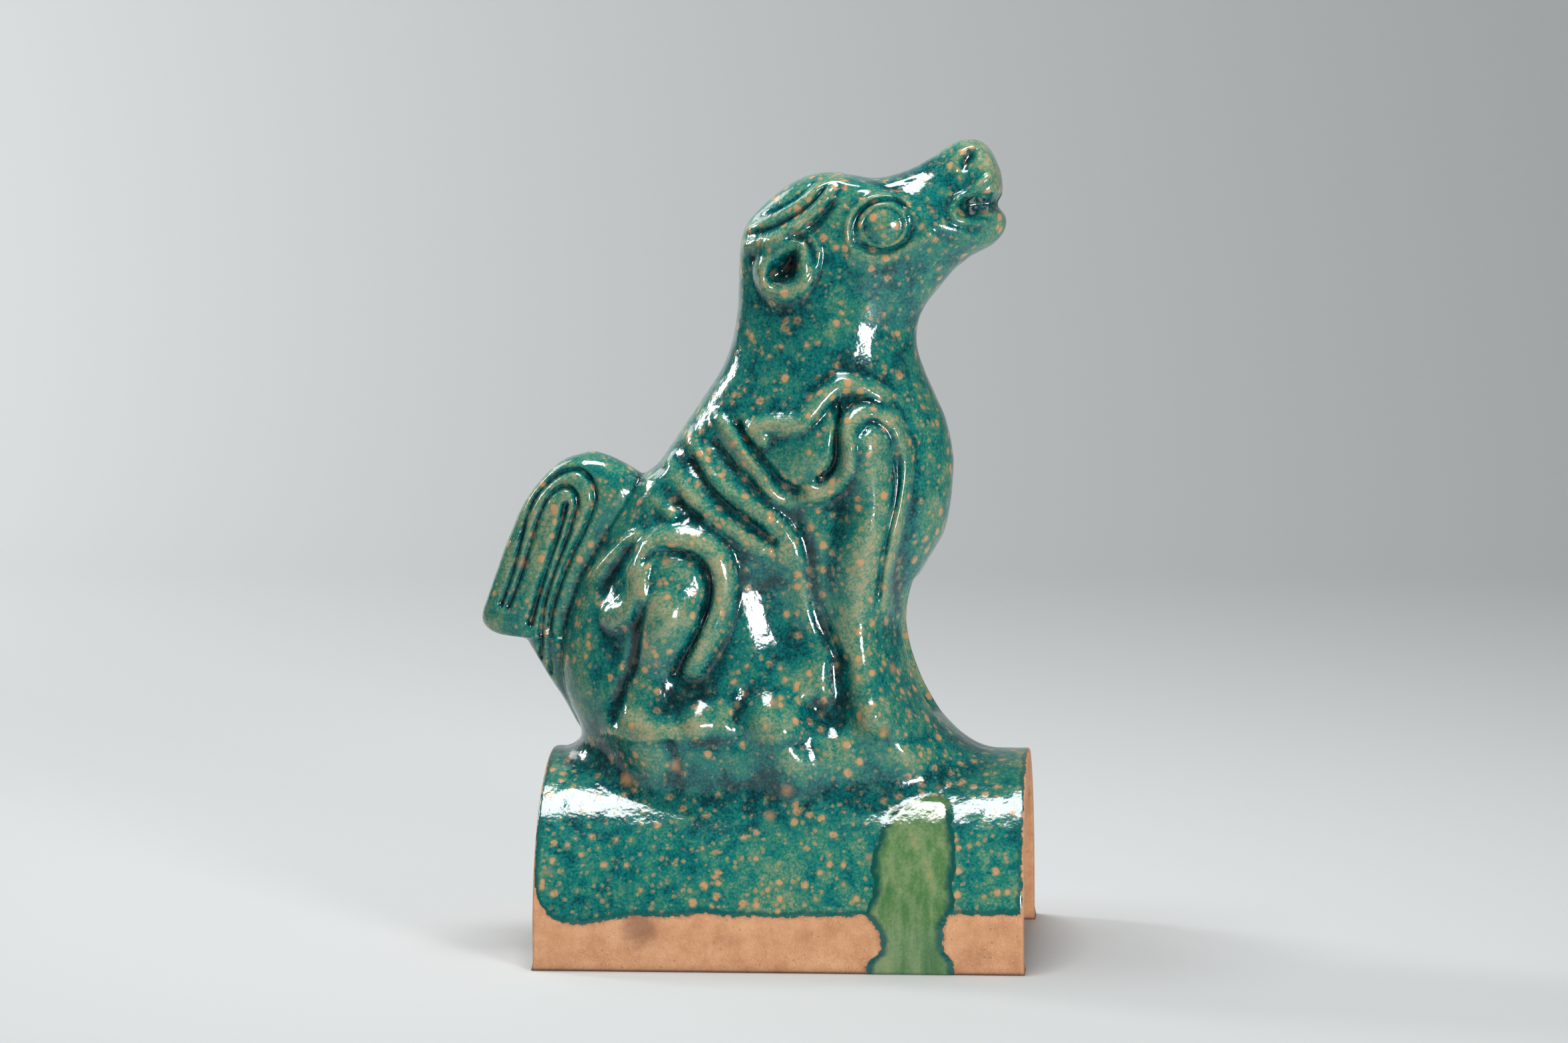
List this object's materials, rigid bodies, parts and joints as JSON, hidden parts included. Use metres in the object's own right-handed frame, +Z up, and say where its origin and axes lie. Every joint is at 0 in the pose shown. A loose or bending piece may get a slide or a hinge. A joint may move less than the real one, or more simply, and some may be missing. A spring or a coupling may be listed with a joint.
{
  "type": "ridge beast ornament",
  "caption": "Half-round ridge tile with a seated beast on its crown, head thrown back, in turquoise glazed terracotta, open underneath.",
  "frame": {"origin": "centre of the part's box at the level of the tile's two lower edges, on which it stands", "axes": "+X along the ridge, the way the beast looks; +Y across the ridge, to the beast's left; +Z up"},
  "size_m": [0.2234, 0.135, 0.3257],
  "materials": {
    "glazed_terracotta": "glossy turquoise lead glaze, mottled, with bare orange clay along the lower edge"
  },
  "bodies": {
    "root": {"ridge_beast": "glazed_terracotta"}
  },
  "joints": []
}
